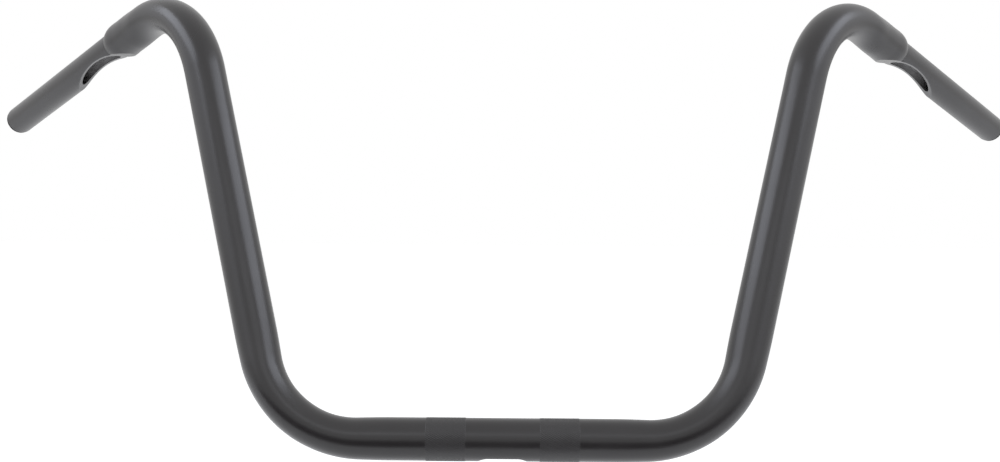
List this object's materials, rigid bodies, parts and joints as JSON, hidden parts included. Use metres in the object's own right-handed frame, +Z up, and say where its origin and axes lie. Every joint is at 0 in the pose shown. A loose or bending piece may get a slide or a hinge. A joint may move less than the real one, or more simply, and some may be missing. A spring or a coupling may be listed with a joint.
{
  "type": "ape hanger handlebar",
  "caption": "Tall motorbike handlebar: a fat bent tube with splayed arms, swept-back slim grip tubes, knurled clamp bands, a wiring hole and wiring notches.",
  "frame": {"origin": "middle of the clamp section, on the axis of its tube", "axes": "+X along the clamp section to the clutch side, +Y back towards the rider, +Z up, with the arms leaning back as they sit in the risers"},
  "size_m": [0.9592, 0.3593, 0.3595],
  "materials": {
    "powder_coat": "satin black powder coat on steel tube",
    "plug_plastic": "moulded black plastic"
  },
  "bodies": {
    "root": {"bar_tube": "powder_coat", "clutch_grip_tube": "powder_coat", "throttle_grip_tube": "powder_coat", "clutch_end_plug": "plug_plastic", "throttle_end_plug": "plug_plastic"}
  },
  "joints": []
}
